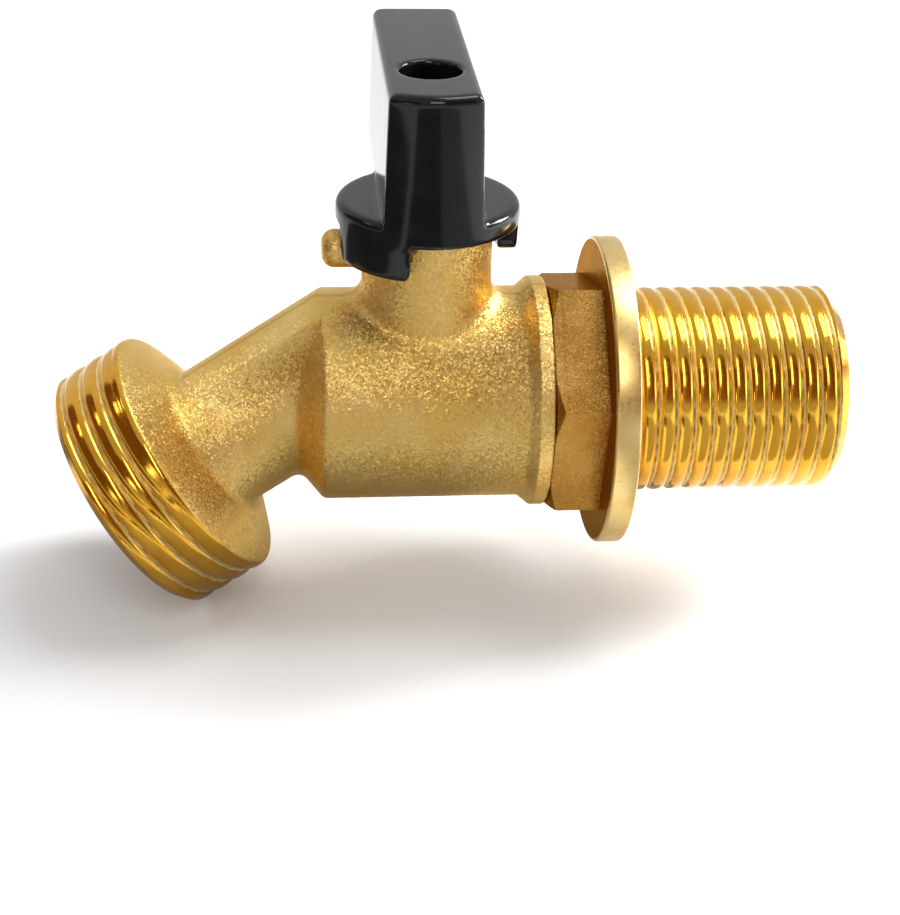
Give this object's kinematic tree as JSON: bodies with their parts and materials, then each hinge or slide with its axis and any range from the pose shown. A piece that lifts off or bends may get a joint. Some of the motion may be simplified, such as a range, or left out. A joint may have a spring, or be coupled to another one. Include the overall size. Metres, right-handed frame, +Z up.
{
  "type": "water butt tap",
  "caption": "Brass ball-valve tap with a black lever handle, a slanted hose-threaded spout and a flanged, threaded inlet tail that clamps through the wall of a water butt.",
  "frame": {"origin": "centre of the flange's wall-side face, on the inlet tail's axis", "axes": "+X along the inlet tail into the butt, +Y to the tap's left as seen from the spout with the closed lever pointing along it, +Z up along the stem to the handle"},
  "size_m": [0.079, 0.0383, 0.0555],
  "materials": {
    "cast_brass": "sand-cast, shot-blasted skin with machined threads",
    "turned_brass": "turned, bright",
    "stem_brass": "turned, satin",
    "ball_chrome": "hard plated and polished",
    "handle_black": "gloss moulding",
    "seat_white": "waxy",
    "seal_rubber": "matt",
    "screw_steel": "bright zinc"
  },
  "bodies": {
    "tap_body": {"body": "cast_brass", "tail_piece": "turned_brass", "inlet_seat": "seat_white", "outlet_seat": "seat_white", "thrust_washer": "seat_white"},
    "handle_set": {"handle": "handle_black", "handle_screw": "screw_steel", "stem": "stem_brass", "lower_o_ring": "seal_rubber", "upper_o_ring": "seal_rubber", "ball": "ball_chrome"}
  },
  "joints": [
    {"name": "handle_turn", "type": "hinge", "parent": "tap_body", "child": "handle_set", "pos_m": [-0.0198, 0, 0], "axis": [0, 0, 1], "range_deg": [0, 90]}
  ]
}
